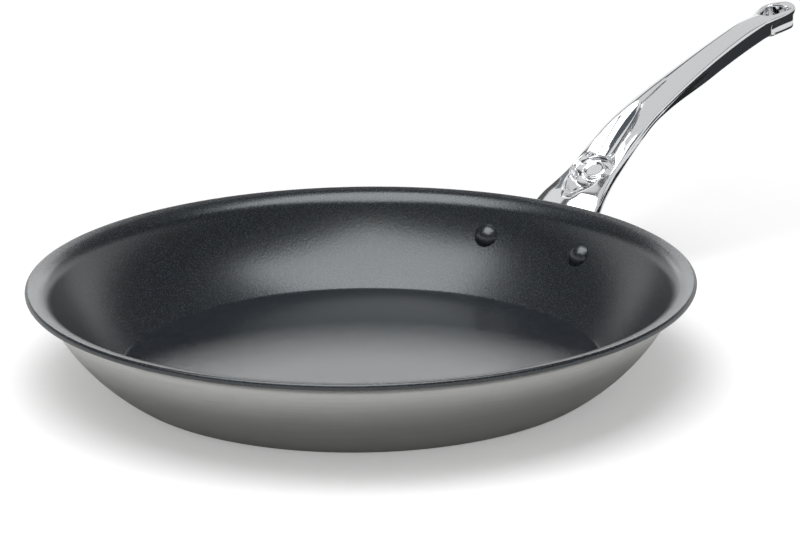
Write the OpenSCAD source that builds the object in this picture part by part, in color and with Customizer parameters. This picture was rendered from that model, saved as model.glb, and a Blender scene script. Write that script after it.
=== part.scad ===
// Omelette pan of the 28 cm class: a pressed five-ply body with a flared lip,
// a non-stick lining, and a cast, hollowed handle held by two rivets.
// The origin is the centre of the resting face, +X runs along the handle and +Z is up.
// Lengths are in millimetres and angles in degrees.

/* [Pan body] */
// Outer radius of the rim, over the lining
rim_r = 143; // [130:1:156]
// Height from the resting face to the top of the lip
pan_h = 42; // [38:0.5:50]
// Radius of the flat resting face
base_r = 103; // [96:1:108]
// Bow radius of the outer wall between base and lip
wall_bow_r = 83; // [70:1:110]
// Inner radius of the crease between floor and wall
crease_r = 3; // [2:0.5:8]
// Outer radius of the bend that turns the lip outwards
lip_bend_r = 7; // [5:0.5:9]
// Slope of the lip's straight edge above the horizontal
lip_rise = 12; // [6:1:20]
// Length of the lip's straight edge
lip_edge = 2.5; // [1:0.5:4]

/* [Clad sheet] */
// Thickness of each stainless skin, the outermost and the innermost ply
skin_t = 0.5; // [0.4:0.05:0.8]
// Thickness of each aluminium ply under the skins
clad_t = 0.5; // [0.3:0.05:0.8]
// Thickness of the alloy core ply
core_t = 0.6; // [0.4:0.05:1.2]
// Thickness of the non-stick lining
coat_t = 0.12; // [0.08:0.01:0.2]
// How far the lining runs round the lip, counted from straight up
coat_wrap = 130; // [100:5:150]

/* [Rivets] */
// Angle between each rivet and the handle, seen from above
rivet_turn = 12; // [10:0.5:15]
// Height above the resting face at which the rivets pass through the outer wall
rivet_up = 24; // [22:0.5:26]
// Diameter of the rivet's shank
shank_d = 6; // [4:0.5:7]
// Diameter of the domed head inside the pan
head_d = 11; // [9:0.5:13]
// Height of the domed head inside the pan
head_h = 2.6; // [1.8:0.1:3.5]
// Diameter of the button that closes the rivet on the handle
button_d = 10; // [8:0.5:12]
// Height of the button
button_h = 2; // [1.4:0.1:3]
// Clearance around the shank in every hole
shank_gap = 0.05; // [0.03:0.01:0.15]

/* [Handle flange] */
// Gap between the handle and the pan's outer wall
seat_gap = 0.26; // [0.2:0.01:0.35]
// Thickness of the flange that hugs the wall
flange_t = 3.6; // [3:0.2:5]
// Half the width of the flange
flange_w = 37; // [34:0.5:42]
// Height of the flange's upper edge above the resting face
flange_top = 33; // [30:0.5:34]
// Height of the flange's lower edge above the resting face
flange_foot = 12; // [10:0.5:14]
// How much lower the flange's upper edge lies at its ends
flange_droop = 5; // [3:0.5:7]

/* [Handle neck] */
// Height above the resting face at which the neck's side edges leave the wall
neck_foot_up = 30; // [28:0.5:32]
// Rise of the neck above the horizontal
neck_rise = 28.7; // [24:0.1:32]
// Length of the straight neck, from the wall to the bend
neck_len = 68; // [60:1:76]
// Half the width of the neck where the bend begins
neck_w = 11.2; // [10.4:0.1:12.4]
// Extra half width that the neck gains as it flares to the flange
neck_flare = 14; // [8:0.5:16]
// Crown of the neck above its side edges
neck_crown = 6.2; // [5:0.1:7.5]
// Depth of the neck's flanks and belly below its side edges
neck_depth = 14; // [12:0.5:16]

/* [Handle hollow] */
// Distance along the handle from the wall to the hollow's near end
hollow_start = 23.5; // [21:0.5:25.5]
// Distance along the handle from the wall to the hollow's pointed end
hollow_end = 96; // [90:1:100]
// Distance along the handle from the wall to the end of the groove that leads on from the point
groove_end = 120; // [110:1:126]
// Half the width of the hollow at its widest
hollow_w = 7.4; // [6:0.1:8]
// Depth of the hollow below the crown
hollow_depth = 10; // [7:0.1:11]
// Distance along the handle from the wall to the round boss
boss_at = 46.6; // [44:0.2:50]
// Diameter of the plain round boss
boss_d = 11.6; // [10.6:0.2:12.2]
// Height of the boss above the round seat it stands in
boss_h = 1.6; // [1:0.1:2.5]
// Width of the raised ring round the boss's face
boss_ring = 1.6; // [1:0.1:2.2]
// Gap between the boss and the edge of its seat
boss_gap = 3.3; // [2.8:0.1:3.4]
// Width of the low collar round that seat
collar_w = 1.3; // [0.8:0.1:1.4]

/* [Handle grip] */
// Bend radius between neck and grip
bend_r = 147; // [120:1:180]
// Turn of that bend
bend_turn = 11.2; // [9:0.1:13]
// Bow radius of the grip's first stretch
bow_r = 567; // [450:1:700]
// Turn of the grip's first stretch
bow_turn = 2; // [1:0.1:4]
// Bow radius of the grip's last stretch, up to the loop's end
tail_r = 944; // [700:1:1600]
// Length of the grip's last stretch, up to the loop's end
tail_len = 112; // [104:1:120]
// Half the width of the grip where it leaves the bend
grip_w = 9.7; // [8.8:0.1:10.8]
// Half the width of the grip at its waist before the loop
waist_w = 5.8; // [5:0.1:7]
// Crown of the grip above its side edges
grip_crown = 4.7; // [3.5:0.1:5.5]
// Depth of the grip below its side edges
grip_depth = 10.3; // [8:0.1:12]
// Depth of the grip below its side edges at the bend, where it is thinnest
bend_depth = 6.4; // [5.5:0.1:8]
// Share of the half width by which the grip's flanks are drawn in
flank_draw = 0.16; // [0:0.01:0.25]

/* [Hanging loop] */
// Half the width of the loop
loop_w = 9; // [8.6:0.1:11]
// Length of the loop's rounded end
loop_end = 10.5; // [9:0.5:13]
// Length over which the grip widens into the loop
loop_swell = 20; // [16:1:28]
// Corner radius of the three-cornered hole at its wide end
hole_corner = 2.2; // [1.6:0.1:2.8]
// Radius of the hole's narrow end
hole_nose = 3.6; // [2.8:0.1:4]
// Length of the hole along the handle
hole_len = 17.5; // [15:0.5:19]
// Width of the hole at its wide end
hole_w = 13; // [11:0.1:13.6]
// Metal left between the hole and the loop's tip
hole_rim = 7.5; // [5.5:0.1:9]
// Crown of the loop above its side edges
loop_crown = 0.6; // [0.4:0.1:2]

/* [Hidden] */

// Depth of each ply boundary inside the sheet, counted from the outside
ply_stops = [
    0,
    skin_t,
    skin_t + clad_t,
    skin_t + clad_t + core_t,
    skin_t + 2 * clad_t + core_t,
    2 * skin_t + 2 * clad_t + core_t,
];
sheet_t = ply_stops[5];

// Steps along each curve of the sheet's profile
crease_steps = 4;
wall_steps = 14;
lip_steps = 9;
end_steps = 3;

// Facets round the rivets and the boss, and round the whole pan
round_fn = 48;
turn_fn = 180;

// A unit step in the profile plane at angle a above the horizontal
function along(a) = [cos(a), sin(a)];
function mix(a, b, t) = a + (b - a) * t;
function ease(t) = let (c = min(1, max(0, t))) c * c * (3 - 2 * c);

// Centres of the sheet's arcs, all for the outer surface:
// the crease at the base, the rounded end of the lip, and the bend of the lip
crease_out = crease_r + sheet_t;
crease_c = [base_r, crease_out];
lip_end_c = [rim_r - coat_t - sheet_t / 2, pan_h - coat_t - sheet_t / 2];
lip_c = lip_end_c - lip_edge * along(lip_rise)
    - (lip_bend_r + sheet_t / 2) * along(lip_rise + 90);

// The wall's arc touches the crease's arc from outside and the lip's arc from within,
// so its centre is where two circles about those centres meet
wall_a = wall_bow_r - crease_out;
wall_b = wall_bow_r + lip_bend_r;
gap_v = lip_c - crease_c;
gap_l = norm(gap_v);
foot_l = (wall_a * wall_a - wall_b * wall_b + gap_l * gap_l) / (2 * gap_l);
foot_h = sqrt(wall_a * wall_a - foot_l * foot_l);
wall_c = crease_c + foot_l * gap_v / gap_l + foot_h * [-gap_v[1], gap_v[0]] / gap_l;

// Slopes of the sheet where the crease ends and where the lip's bend begins
foot_slope = atan2(crease_c[0] - wall_c[0], wall_c[1] - crease_c[1]);
head_slope = atan2(lip_c[0] - wall_c[0], wall_c[1] - lip_c[1]);

// Points of the surface that lies k inside the sheet, from the axis to the lip's end
function hollow_arc(c, r, a0, a1, n) =
    [for (i = [0:n]) let (a = mix(a0, a1, i / n)) c - r * along(a + 90)];
function ply_line(k) = concat(
    [[0, k]],
    hollow_arc(crease_c, crease_out - k, 0, foot_slope, crease_steps),
    [for (i = [1:wall_steps])
        wall_c - (wall_bow_r - k) * along(mix(foot_slope, head_slope, i / wall_steps) + 90)],
    [for (i = [1:lip_steps])
        lip_c + (lip_bend_r + k) * along(mix(head_slope, lip_rise, i / lip_steps) + 90)]
);

// The sheet's end is a full round; end_turn gives the angle at which depth k meets it
function end_turn(k) = asin(min(1, max(-1, (k - sheet_t / 2) / (sheet_t / 2))));
function end_point(k0, k1, i, r) =
    lip_end_c + r * along(lip_rise + mix(end_turn(k0), end_turn(k1), i / end_steps));
function ply_end(k0, k1) = [for (i = [0:end_steps]) end_point(k0, k1, i, sheet_t / 2)];

function reversed(v) = [for (i = [len(v) - 1:-1:0]) v[i]];

// A rivet stands square to the wall, so it leans as far from straight down as the wall does there
rivet_lean = acos((wall_c[1] - rivet_up) / wall_bow_r);

// The same holes pass through every ply and the handle's flange.
// Children are drawn with their own Z along the rivet, counted from the wall arc's centre
module at_rivet(side) {
    rotate([0, 0, side * rivet_turn])
        translate([wall_c[0], 0, wall_c[1]])
            rotate([0, 180 - rivet_lean, 0])
                children();
}

module rivet_holes() {
    for (side = [-1, 1])
        at_rivet(side)
            translate([0, 0, wall_bow_r - 2 * sheet_t - head_h])
                cylinder(d = shank_d + 2 * shank_gap, h = 6 * sheet_t + flange_t, $fn = round_fn);
}

module ply(index, tint) {
    k0 = ply_stops[index];
    k1 = ply_stops[index + 1];
    color(tint)
        difference() {
            rotate_extrude($fn = turn_fn)
                polygon(concat(ply_line(k0), ply_end(k0, k1), reversed(ply_line(k1))));
            rivet_holes();
        }
}

// Height of the rivet head's flat underside above the lining: the dish of the wall under it
head_seat = pow(head_d + 2 * coat_t, 2) / (8 * (wall_bow_r - sheet_t - coat_t)) + shank_gap;
head_plane = wall_bow_r - sheet_t - coat_t - head_seat;

// A shallow dome of diameter d and height h, standing on z = 0 and facing +Z
module dome_profile(d, h) {
    ball_r = (d * d / 4 + h * h) / (2 * h);
    intersection() {
        translate([0, h - ball_r])
            circle(r = ball_r, $fn = 2 * round_fn);
        square([d, h]);
    }
}

module nonstick_coating() {
    lining_end = [
        for (j = [4:-1:0])
            for (i = [end_steps - 1:-1:0])
                [ply_stops[j], ply_stops[j + 1], i]
    ];
    wrap_floor = 90 - lip_rise - coat_wrap;
    kept = [for (e = lining_end)
        if (mix(end_turn(e[0]), end_turn(e[1]), e[2] / end_steps) >= wrap_floor) e];
    inner = [for (e = kept) end_point(e[0], e[1], e[2], sheet_t / 2)];
    outer = [for (e = kept) end_point(e[0], e[1], e[2], sheet_t / 2 + coat_t)];
    lip_top = lip_end_c + sheet_t / 2 * along(lip_rise + 90);
    lip_over = lip_end_c + (sheet_t / 2 + coat_t) * along(lip_rise + 90);
    color("dimgray")
        difference() {
            rotate_extrude($fn = turn_fn)
                polygon(concat(
                    ply_line(sheet_t),
                    [lip_top],
                    inner,
                    reversed(outer),
                    [lip_over],
                    reversed(ply_line(sheet_t + coat_t))
                ));
            rivet_holes();
        }
    // The lining also covers the rivet heads
    color("dimgray")
        for (side = [-1, 1])
            at_rivet(side)
                translate([0, 0, head_plane])
                    mirror([0, 0, 1])
                        rotate_extrude($fn = round_fn)
                            difference() {
                                dome_profile(head_d + 2 * coat_t, head_h + coat_t);
                                dome_profile(head_d, head_h);
                            }
}

// The button sits on the flange's outer face
button_plane = wall_bow_r + seat_gap + flange_t;

module rivet(side) {
    color("lightgray")
        at_rivet(side) {
            translate([0, 0, head_plane])
                mirror([0, 0, 1])
                    rotate_extrude($fn = round_fn)
                        dome_profile(head_d, head_h);
            translate([0, 0, head_plane - head_h / 2])
                cylinder(d = shank_d, h = button_plane - head_plane + head_h / 2, $fn = round_fn);
            translate([0, 0, button_plane])
                rotate_extrude($fn = round_fn)
                    dome_profile(button_d, button_h);
        }
}

// Path of the handle's side edges, seen from the side: a straight neck and three bows.
// Each stop holds the distance along the handle, the place and the slope
neck_foot = [
    wall_c[0] + sqrt(pow(wall_bow_r, 2) - pow(wall_c[1] - neck_foot_up, 2)),
    neck_foot_up,
];
bend_len = bend_r * bend_turn * PI / 180;
bow_len = bow_r * bow_turn * PI / 180;
function bow_step(r, a, s) = let (turned = s / r * 180 / PI)
    r * [sin(a) - sin(a - turned), cos(a - turned) - cos(a)];
bend_foot = neck_foot + neck_len * along(neck_rise);
bow_foot = bend_foot + bow_step(bend_r, neck_rise, bend_len);
bow_slope = neck_rise - bend_turn;
tail_foot = bow_foot + bow_step(bow_r, bow_slope, bow_len);
tail_slope = bow_slope - bow_turn;
bow_at = neck_len + bend_len;
tail_at = bow_at + bow_len;
handle_len = tail_at + tail_len;

function path_at(s) =
    s < neck_len ? neck_foot + s * along(neck_rise) :
    s < bow_at ? bend_foot + bow_step(bend_r, neck_rise, s - neck_len) :
    s < tail_at ? bow_foot + bow_step(bow_r, bow_slope, s - bow_at) :
    tail_foot + bow_step(tail_r, tail_slope, s - tail_at);
function slope_at(s) =
    s < neck_len ? neck_rise :
    s < bow_at ? neck_rise - (s - neck_len) / bend_r * 180 / PI :
    s < tail_at ? bow_slope - (s - bow_at) / bow_r * 180 / PI :
    tail_slope - (s - tail_at) / tail_r * 180 / PI;

// Widths, crown and depth along the handle
loop_at = handle_len - loop_end;
swell_at = loop_at - loop_swell;
blend_end = 28;
flare_len = 46;
neck_taper = 2.4;
// Shares of the crown at the wall and at the tip, and of the depth at the tip
crown_foot = 0.3;
crown_tip = 0.4;
depth_tip = 0.6;
function loop_round(s) = s < loop_at ? 1 : sqrt(max(0, 1 - pow((s - loop_at) / loop_end, 2)));
function half_width(s) =
    s < neck_len ? mix(neck_w + neck_taper, neck_w, s / neck_len)
        + neck_flare * pow(max(0, 1 - s / flare_len), 2) :
    s < bow_at ? mix(neck_w, grip_w, ease((s - neck_len) / bend_len)) :
    s < swell_at ? mix(grip_w, waist_w, sin(90 * (s - bow_at) / (swell_at - bow_at))) :
    mix(waist_w, loop_w, ease((s - swell_at) / loop_swell)) * loop_round(s);
function crown(s) =
    s < tail_at ? mix(neck_crown, grip_crown, ease((s - neck_len / 2) / neck_len))
        * mix(crown_foot, 1, ease(s / blend_end)) :
    mix(grip_crown, loop_crown, ease((s - swell_at + loop_swell) / (2 * loop_swell)))
        * mix(crown_tip, 1, loop_round(s));
// The handle is thinnest inside the bend and deepens again over the next stretch
thin_len = 20;
thin_at = neck_len + thin_len;
deepen_len = 60;
function depth(s) =
    s < thin_at ? mix(neck_depth, bend_depth, ease(s / thin_at)) :
    mix(bend_depth, grip_depth, ease((s - thin_at) / deepen_len))
        * mix(depth_tip, 1, loop_round(s));
function draw_in(s) = flank_draw * ease((s - thin_at) / deepen_len);

// The hollow in the neck: a pointed arch in plan, round at the pan's end.
// It opens to its full width over one length and sinks to its full depth over the other.
// A narrow, shallow groove leads on from its point
hollow_open_len = 14;
hollow_sink_len = 12;
arch_power = 3.5;
groove_w = 3;
groove_depth = 1.2;
groove_fade = 3;
function groove_left(s) = min(1, max(0, (groove_end - s) / (groove_end - boss_at)));
function hollow_half(s) = max(groove_w * groove_left(s), hollow_w
    * sqrt(ease((s - hollow_start) / hollow_open_len))
    * max(0, 1 - pow(max(0, s - boss_at) / (hollow_end - boss_at), arch_power)));
function hollow_deep(s) = max(groove_depth * ease(groove_left(s) * groove_fade), hollow_depth
    * ease((hollow_end - s) / (hollow_end - boss_at)))
    * sqrt(ease((s - hollow_start) / hollow_sink_len));

// One ring of the casting as [across, up] pairs: right rim, hollow, left rim, then the belly.
// w is the half width, c the crown, d the depth, q the flanks' draw and p the belly's fullness;
// hw and hd are the hollow's half width and depth
rim_steps = 3;
hollow_steps = 8;
belly_steps = 16;
hollow_min = 0.16;
hollow_max = 0.8;
dish_power = 2.4;
rim_power = 1.4;
function crown_at(y, w, c) = c * (1 - pow(y / w, 2));
function rim_y(i, w, h) = mix(w, h, 1 - pow(1 - i / rim_steps, rim_power));
function ring(w, c, d, q, p, hw, hd) = let (h = max(hollow_min * w, min(hw, hollow_max * w))) concat(
    [for (i = [0:rim_steps - 1]) let (y = rim_y(i, w, h)) [y, crown_at(y, w, c)]],
    [for (i = [0:hollow_steps])
        let (f = cos(180 * i / hollow_steps))
            [f * h, crown_at(f * h, w, c) - hd * (1 - pow(abs(f), dish_power))]],
    [for (i = [rim_steps - 1:-1:0]) let (y = rim_y(i, w, h)) [-y, crown_at(y, w, c)]],
    [for (i = [1:belly_steps - 1])
        let (
            a = 180 * i / belly_steps,
            up = pow(abs(sin(a)), 2 / p),
            y = sign(cos(a)) * pow(abs(cos(a)), 2 / p) * (1 - q * pow(sin(180 * up), 2))
        )
            [-w * y, -d * up]]
);

// A ring of the flange follows the wall at distance out from it;
// a ring of the neck or grip stands square to the handle's path
function on_wall(y, z, out) = let (
    r = wall_c[0] + sqrt(pow(wall_bow_r + out, 2) - pow(wall_c[1] - z, 2))
) [sqrt(r * r - y * y), y, z];
belly_power = 3;
function wall_ring(out, w, top, foot, droop) =
    [for (e = ring(w, droop, top - droop - foot, 0, belly_power, 0, 0))
        on_wall(e[0], top - droop + e[1], out)];
function path_ring(s) = let (at = path_at(s), a = slope_at(s))
    [for (e = ring(half_width(s), crown(s), depth(s), draw_in(s), belly_power,
                   hollow_half(s), hollow_deep(s)))
        [at[0] - e[1] * sin(a), e[0], at[1] + e[1] * cos(a)]];

// The flange blends into the neck: rings between them are shares of both.
// The web is the raised middle of the flange, from which the neck grows outwards
web_inset = 14;
web_out = 14;
web_foot = 2;
web_drop = 6;
function blend_ring(t) = let (
    wall = wall_ring(
        seat_gap + flange_t + web_out * t * t,
        mix(flange_w - web_inset, half_width(blend_end), sin(90 * t)),
        flange_top,
        mix(flange_foot + web_foot, flange_top - neck_depth - web_drop, t),
        flange_droop
    ),
    neck = path_ring(blend_end * t)
)
    [for (i = [0:len(wall) - 1]) mix(wall[i], neck[i], ease(t))];

// The flange's seat is closed by rings that follow the wall and shrink towards its middle
seat_steps = 6;
seat_middle = 1 / 60;
flange_mid = (flange_top + flange_foot) / 2;
flange_round = 1;
function seat_ring(f) = wall_ring(seat_gap, flange_w * f, mix(flange_mid, flange_top, f),
    mix(flange_mid, flange_foot, f), flange_droop * f);
flange_rings = [
    for (i = [0:seat_steps - 1]) seat_ring(seat_middle + i / seat_steps),
    wall_ring(seat_gap, flange_w, flange_top, flange_foot, flange_droop),
    wall_ring(seat_gap + flange_t - flange_round, flange_w, flange_top, flange_foot, flange_droop),
    wall_ring(seat_gap + flange_t, flange_w - flange_round, flange_top,
              flange_foot + flange_round, flange_droop),
];
blend_steps = 7;
neck_steps = 20;
grip_steps = 8;
loop_steps = 6;
end_angles = [20, 40, 55, 68, 78, 86];
rings = concat(
    flange_rings,
    [for (i = [0:blend_steps - 1]) blend_ring(i / blend_steps)],
    [for (i = [0:neck_steps]) path_ring(mix(blend_end, groove_end, i / neck_steps))],
    [for (i = [1:grip_steps]) path_ring(mix(groove_end, swell_at, i / grip_steps))],
    [for (i = [1:loop_steps]) path_ring(mix(swell_at, loop_at, i / loop_steps))],
    [for (a = end_angles) path_ring(loop_at + loop_end * sin(a))]
);

// Skins a stack of closed rings that all have the same number of points
module skin(rings) {
    n = len(rings[0]);
    last = len(rings) - 1;
    points = [for (r = rings) each r];
    near_cap = [for (i = [0:n - 1]) i];
    far_cap = [for (i = [n - 1:-1:0]) last * n + i];
    sides = [
        for (j = [0:last - 1])
            for (i = [0:n - 1])
                let (a = j * n + i, b = j * n + (i + 1) % n)
                    each [[a, a + n, b + n], [a, b + n, b]]
    ];
    polyhedron(points, concat([near_cap, far_cap], sides), convexity = 6);
}

// Children are drawn with their own X along the handle and Z out of its upper face at s
module on_handle(s) {
    at = path_at(s);
    translate([at[0], 0, at[1]])
        rotate([0, -slope_at(s), 0])
            children();
}

// The three-cornered hanging hole, narrow towards the grip
hole_fn = 32;
hole_tip = loop_at + loop_end - hole_rim - hole_corner;
module hanging_hole() {
    on_handle(hole_tip)
        translate([0, 0, -2 * grip_depth])
            hull() {
                for (side = [-1, 1])
                    translate([0, side * (hole_w / 2 - hole_corner), 0])
                        cylinder(r = hole_corner, h = 4 * grip_depth, $fn = hole_fn);
                translate([hole_corner + hole_nose - hole_len, 0, 0])
                    cylinder(r = hole_nose, h = 4 * grip_depth, $fn = hole_fn);
            }
}

// The plain round boss stands in a round seat sunk into the hollow's floor, inside a low collar,
// with an arm on either side that ties it to the hollow's walls.
// Collar and arms end one step below the boss's top, and its face lies the same step below its ring
seat_sink = 0.2;
seat_floor = crown(boss_at) - hollow_deep(boss_at) - seat_sink;
seat_d = boss_d + 2 * boss_gap;
boss_root = 1;
arm_w = 5;
arm_step = 0.4;
module collar() {
    on_handle(boss_at)
        translate([0, 0, seat_floor - boss_root])
            cylinder(d = seat_d + 2 * collar_w, h = boss_h + boss_root - arm_step, $fn = round_fn);
}

module boss_seat() {
    on_handle(boss_at)
        translate([0, 0, seat_floor])
            cylinder(d = seat_d, h = neck_crown + neck_depth, $fn = round_fn);
}

module boss() {
    on_handle(boss_at)
        translate([0, 0, seat_floor - boss_root]) {
            difference() {
                cylinder(d = boss_d, h = boss_h + boss_root, $fn = round_fn);
                translate([0, 0, boss_h + boss_root - arm_step])
                    cylinder(d = boss_d - 2 * boss_ring, h = boss_root, $fn = round_fn);
            }
            translate([-arm_w / 2, -seat_d / 2, 0])
                cube([arm_w, seat_d, boss_h + boss_root - arm_step]);
        }
}

module handle() {
    color("silver")
        difference() {
            union() {
                difference() {
                    union() {
                        skin(rings);
                        collar();
                    }
                    boss_seat();
                }
                boss();
            }
            hanging_hole();
            rivet_holes();
        }
}

ply(0, "silver");  // outer_steel_ply
ply(1, "gainsboro");  // outer_aluminium_ply
ply(2, "lightgray");  // alloy_core_ply
ply(3, "gainsboro");  // inner_aluminium_ply
ply(4, "silver");  // inner_steel_ply
nonstick_coating();
handle();
rivet(1);  // rivet_left
rivet(-1);  // rivet_right
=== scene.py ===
# %% [markdown]
# # An omelette pan, dressed for its picture
#
# The CAD model gives nine solids: five bonded plies, a non-stick lining, a cast handle and two
# rivets. Here each one that shows gets a finer surface and a finish of its own. All shapes are
# worked out with numpy from the sizes of the solids. A few sizes of the handle differ from its
# solid's, to come closer to the photograph, and the handle stays inside the solid's box. Sizes
# are in millimetres and angles in degrees until a mesh is made.

# %% Load the solids
import math

import bmesh
import bpy
import numpy as np
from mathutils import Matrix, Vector


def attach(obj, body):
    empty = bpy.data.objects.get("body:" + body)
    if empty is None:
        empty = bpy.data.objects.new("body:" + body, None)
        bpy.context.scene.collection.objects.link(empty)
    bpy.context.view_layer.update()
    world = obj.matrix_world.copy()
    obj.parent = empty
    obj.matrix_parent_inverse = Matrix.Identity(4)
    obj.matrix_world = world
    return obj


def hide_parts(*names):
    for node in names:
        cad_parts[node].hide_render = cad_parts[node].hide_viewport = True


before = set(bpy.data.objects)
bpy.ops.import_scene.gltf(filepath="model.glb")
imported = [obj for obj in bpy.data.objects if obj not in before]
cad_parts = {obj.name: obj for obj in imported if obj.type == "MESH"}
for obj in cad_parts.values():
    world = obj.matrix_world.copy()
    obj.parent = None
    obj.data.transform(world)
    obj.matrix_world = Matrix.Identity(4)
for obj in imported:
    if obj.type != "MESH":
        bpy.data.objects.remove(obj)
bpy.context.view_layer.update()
print("solids:", ", ".join(sorted(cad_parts)))

# %% [markdown]
# ## Tools for surfaces
#
# A grid of points becomes a sheet of four-sided faces. Several sheets that share their edges
# are joined into one closed piece: points that coincide are merged, and faces are turned to
# point outwards. Edges that turn sharply stay crisp, and all others are shaded smooth.

# %% From grids of points to a piece
MM = 0.001


def quads(rows, cols, start):
    """Faces between neighbours: point (i, j) with (i+1, j), (i+1, j+1) and (i, j+1)."""
    i, j = np.meshgrid(np.arange(rows - 1), np.arange(cols - 1), indexing="ij")
    a = start + i * cols + j
    return np.stack([a, a + cols, a + cols + 1, a + 1], axis=-1).reshape(-1, 4)


def make_piece(name, sheets, node, crisp=38.0):
    """One closed mesh from grids of shape (rows, columns, 3) in millimetres."""
    points = np.concatenate([s.reshape(-1, 3) for s in sheets]) * MM
    starts = np.cumsum([0] + [s.shape[0] * s.shape[1] for s in sheets[:-1]])
    faces = np.concatenate([quads(*s.shape[:2], n) for s, n in zip(sheets, starts)])
    mesh = bpy.data.meshes.new(name)
    mesh.from_pydata(points.tolist(), [], faces.tolist())
    shape = bmesh.new()
    shape.from_mesh(mesh)
    bmesh.ops.remove_doubles(shape, verts=shape.verts, dist=2e-6)
    bmesh.ops.dissolve_degenerate(shape, edges=shape.edges, dist=1e-7)
    bmesh.ops.recalc_face_normals(shape, faces=shape.faces)
    shape.to_mesh(mesh)
    shape.free()
    mesh.polygons.foreach_set("use_smooth", np.ones(len(mesh.polygons), dtype=bool))
    mesh.set_sharp_from_angle(angle=math.radians(crisp))
    piece = bpy.data.objects.new(name, mesh)
    bpy.context.scene.collection.objects.link(piece)
    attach(piece, "root")
    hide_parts(node)
    triangles = sum(len(p.vertices) - 2 for p in mesh.polygons)
    print(f"{name}: {len(mesh.vertices)} points, {triangles} triangles")
    return piece


def along(a):
    """A unit step at angle a above the horizontal, as (out, up)."""
    a = np.radians(np.asarray(a, dtype=float))
    return np.stack([np.cos(a), np.sin(a)], axis=-1)


def mix(a, b, t):
    """a where t is 0 and b where t is 1."""
    return a + (b - a) * t


def ease(t):
    """0 below 0, 1 above 1, and a smooth S between: 3t^2 - 2t^3."""
    t = np.clip(t, 0, 1)
    return t * t * (3 - 2 * t)


def positive(u, soft):
    """u above 0 and nearly 0 below, with a rounded turn: (u + sqrt(u^2 + soft^2)) / 2."""
    return (u + np.sqrt(u ** 2 + soft ** 2)) / 2


# %% [markdown]
# ## The pressed sheet
#
# The body is a disc of clad sheet pressed over a form, so every ply follows one line. Seen in
# section it has a flat base, a tight crease, a long bowed wall, and a bend that turns the lip
# outwards. A line at depth k in the sheet keeps the same centres and only changes the radii.

# %% The section of the sheet
RIM_R, PAN_H, BASE_R = 143.0, 42.0, 103.0
WALL_BOW_R, CREASE_R, LIP_BEND_R = 83.0, 3.0, 7.0
LIP_RISE, LIP_EDGE = 12.0, 2.5
SKIN_T, CLAD_T, CORE_T, COAT_T = 0.5, 0.5, 0.6, 0.12
COAT_WRAP = 130.0
SHEET_T = 2 * SKIN_T + 2 * CLAD_T + CORE_T

crease_out = CREASE_R + SHEET_T
crease_c = np.array([BASE_R, crease_out])
lip_end_c = np.array([RIM_R - COAT_T - SHEET_T / 2, PAN_H - COAT_T - SHEET_T / 2])
lip_c = lip_end_c - LIP_EDGE * along(LIP_RISE) - (LIP_BEND_R + SHEET_T / 2) * along(LIP_RISE + 90)

# The wall's centre is where two circles about the other two centres meet.
wall_a, wall_b = WALL_BOW_R - crease_out, WALL_BOW_R + LIP_BEND_R
gap_v = lip_c - crease_c
gap_l = np.linalg.norm(gap_v)
foot_l = (wall_a ** 2 - wall_b ** 2 + gap_l ** 2) / (2 * gap_l)
foot_h = math.sqrt(wall_a ** 2 - foot_l ** 2)
wall_c = crease_c + foot_l * gap_v / gap_l + foot_h * np.array([-gap_v[1], gap_v[0]]) / gap_l
foot_slope = math.degrees(math.atan2(crease_c[0] - wall_c[0], wall_c[1] - crease_c[1]))
head_slope = math.degrees(math.atan2(lip_c[0] - wall_c[0], wall_c[1] - lip_c[1]))
print(f"wall slopes from {foot_slope:.1f} to {head_slope:.1f} degrees")


def sheet_line(k):
    """The line at depth k: base, crease, wall and lip bend, from the axis outwards."""
    base = np.stack([np.linspace(0, BASE_R, 24), np.full(24, k)], axis=-1)
    crease = crease_c - (crease_out - k) * along(np.linspace(0, foot_slope, 12)[1:] + 90)
    wall = wall_c - (WALL_BOW_R - k) * along(np.linspace(foot_slope, head_slope, 48)[1:] + 90)
    lip = lip_c + (LIP_BEND_R + k) * along(np.linspace(head_slope, LIP_RISE, 22)[1:] + 90)
    return np.concatenate([base, crease, wall, lip])


def end_turn(k):
    """Angle on the sheet's rounded end at which depth k comes out, from -90 to 90."""
    return math.degrees(math.asin(min(1, max(-1, 2 * k / SHEET_T - 1))))


def end_arc(turn_a, turn_b, r, n=10):
    """An arc of radius r about the centre of the sheet's rounded end."""
    return lip_end_c + r * along(LIP_RISE + np.linspace(turn_a, turn_b, n))


def revolve(line, turns=288):
    """Carries a section (out, up) round the Z axis; a full circle of columns."""
    a = np.linspace(0, 2 * np.pi, turns + 1)
    x = line[:, :1] * np.cos(a)
    y = line[:, :1] * np.sin(a)
    z = np.repeat(line[:, 1:], turns + 1, axis=1)
    return np.stack([x, y, z], axis=-1)


# %% [markdown]
# ## Outer skin
#
# The outermost ply is the only one that shows: the base, the brushed wall, and the edge under
# the lip where the lining stops. It is a closed shell half a millimetre thick. It runs on over
# the rivet holes, because the rivets fill them.

# %% The outer steel ply
skin_line = np.concatenate([
    sheet_line(0),
    end_arc(end_turn(0), end_turn(SKIN_T), SHEET_T / 2, 6),
    sheet_line(SKIN_T)[::-1],
])
outer_skin = make_piece("outer_skin", [revolve(skin_line)], "outer_steel_ply")

# %% [markdown]
# ## Lining
#
# The lining is sprayed on after the rivets are set. It covers the inside, runs over the lip's
# edge and part of the way under it, and coats both rivet heads, so each head is a dome of the
# same finish. A head is a cap of a sphere standing square to the wall.

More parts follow.
